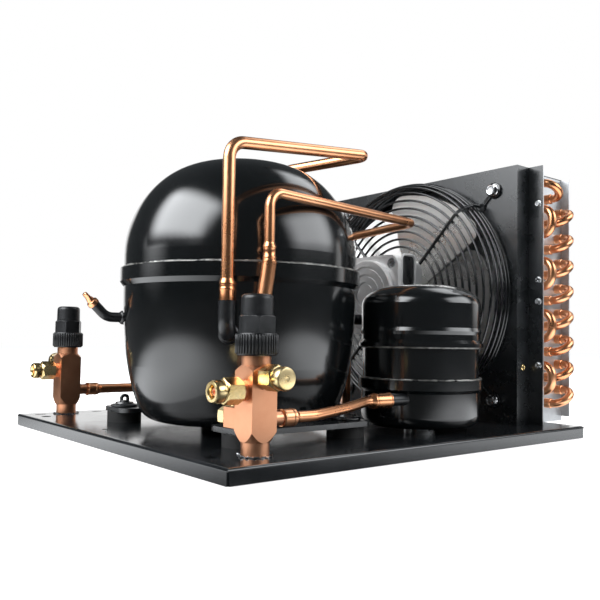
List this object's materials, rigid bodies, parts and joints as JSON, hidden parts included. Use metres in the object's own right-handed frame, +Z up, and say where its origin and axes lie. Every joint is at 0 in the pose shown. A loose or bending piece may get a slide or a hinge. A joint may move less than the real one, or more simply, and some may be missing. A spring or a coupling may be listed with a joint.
{
  "type": "refrigeration condensing unit",
  "caption": "Air-cooled condensing unit: hermetic compressor, guarded fan and motor, finned condenser coil, liquid receiver and angle service valves joined by copper tubes on a folded base pan.",
  "frame": {"origin": "middle of the whole unit's footprint, on the surface the base pan stands on", "axes": "+Z up; +X from the service valves towards the condenser coil; +Y from the liquid valve towards the suction valve"},
  "size_m": [0.433, 0.406, 0.261],
  "materials": {
    "black_sheet": "satin",
    "black_shell": "gloss",
    "black_stub": "satin",
    "black_wire": "gloss",
    "blade_metal": "rolled",
    "brass": "turned",
    "bright_bolts": "bright",
    "cap_plastic": "moulded",
    "cast_iron": "machined",
    "cast_motor": "cast",
    "copper": "drawn",
    "fins": "plain",
    "galvanised": "galvanised",
    "rubber": "matte",
    "terminal_plastic": "moulded",
    "valve_copper": "satin",
    "weld": "satin",
    "zinc_steel": "zinc plated"
  },
  "bodies": {
    "unit": {"base_pan": "black_sheet", "compressor_block": "cast_iron", "compressor_foot_front": "black_sheet", "compressor_foot_rear": "black_sheet", "compressor_lower_shell": "black_shell", "compressor_stator": "zinc_steel", "compressor_upper_shell": "black_shell", "compressor_weld_bead": "weld", "condenser_bends_front": "copper", "condenser_bends_rear": "copper", "condenser_end_plate_front": "galvanised", "condenser_end_plate_rear": "galvanised", "condenser_fins": "fins", "condenser_return_pipe": "copper", "condenser_top_cover": "black_sheet", "discharge_pipe": "copper", "discharge_stub": "black_stub", "fan_guard_arms": "black_wire", "fan_guard_face_rings": "black_wire", "fan_guard_wall_rings": "black_wire", "fan_shroud": "black_sheet", "flange_screws": "zinc_steel", "guard_bolts": "bright_bolts", "liquid_pipe": "copper", "liquid_valve_body": "valve_copper", "liquid_valve_flare_nut": "brass", "liquid_valve_gauge_plug": "brass", "liquid_valve_port_cap": "brass", "motor_end_cover": "cast_motor", "motor_housing": "cast_motor", "motor_screws": "zinc_steel", "mounting_grommets": "rubber", "mounting_pins": "zinc_steel", "mounting_sleeves": "zinc_steel", "mounting_washers": "zinc_steel", "process_tube": "black_stub", "process_tube_tip": "copper", "receiver_bottom_cap": "black_shell", "receiver_inlet_stub": "black_stub", "receiver_nut": "zinc_steel", "receiver_outlet_stub": "black_stub", "receiver_stud": "zinc_steel", "receiver_top_cap": "black_shell", "receiver_tube": "black_shell", "suction_pipe": "copper", "suction_stub": "black_stub", "suction_valve_body": "valve_copper", "suction_valve_flare_nut": "brass", "suction_valve_port_cap": "brass", "valve_screws": "zinc_steel", "valve_washers": "zinc_steel"},
    "fan_rotor": {"fan_shaft": "zinc_steel", "fan_hub": "blade_metal", "fan_blades": "blade_metal"},
    "liquid_valve_cap": {"liquid_valve_cap": "cap_plastic"},
    "suction_valve_cap": {"suction_valve_cap": "cap_plastic"},
    "liquid_valve_spindle": {"liquid_valve_spindle": "zinc_steel"},
    "suction_valve_spindle": {"suction_valve_spindle": "zinc_steel"},
    "terminal_cover": {"terminal_cover": "terminal_plastic"},
    "compressor_rotor": {"compressor_crankshaft": "zinc_steel"}
  },
  "joints": [
    {"name": "fan_spin", "type": "hinge", "parent": "unit", "child": "fan_rotor", "pos_m": [0.1395, -0.0245, 0.136], "axis": [1, 0, 0], "continuous": true},
    {"name": "liquid_cap_lift", "type": "slide", "parent": "unit", "child": "liquid_valve_cap", "axis": [0, 0, 1], "range_m": [0, 0.06]},
    {"name": "suction_cap_lift", "type": "slide", "parent": "unit", "child": "suction_valve_cap", "axis": [0, 0, 1], "range_m": [0, 0.06]},
    {"name": "liquid_spindle_turn", "type": "hinge", "parent": "unit", "child": "liquid_valve_spindle", "pos_m": [-0.175, -0.1645, 0.09], "axis": [0, 0, 1], "range_deg": [0, 1440]},
    {"name": "suction_spindle_turn", "type": "hinge", "parent": "unit", "child": "suction_valve_spindle", "pos_m": [-0.175, 0.1645, 0.09], "axis": [0, 0, 1], "range_deg": [0, 1440]},
    {"name": "terminal_cover_pull", "type": "slide", "parent": "unit", "child": "terminal_cover", "axis": [0, 1, 0], "range_m": [0, 0.06]},
    {"name": "compressor_spin", "type": "hinge", "parent": "unit", "child": "compressor_rotor", "pos_m": [-0.0915, -0.0235, 0.1], "axis": [0, 0, 1], "continuous": true}
  ]
}
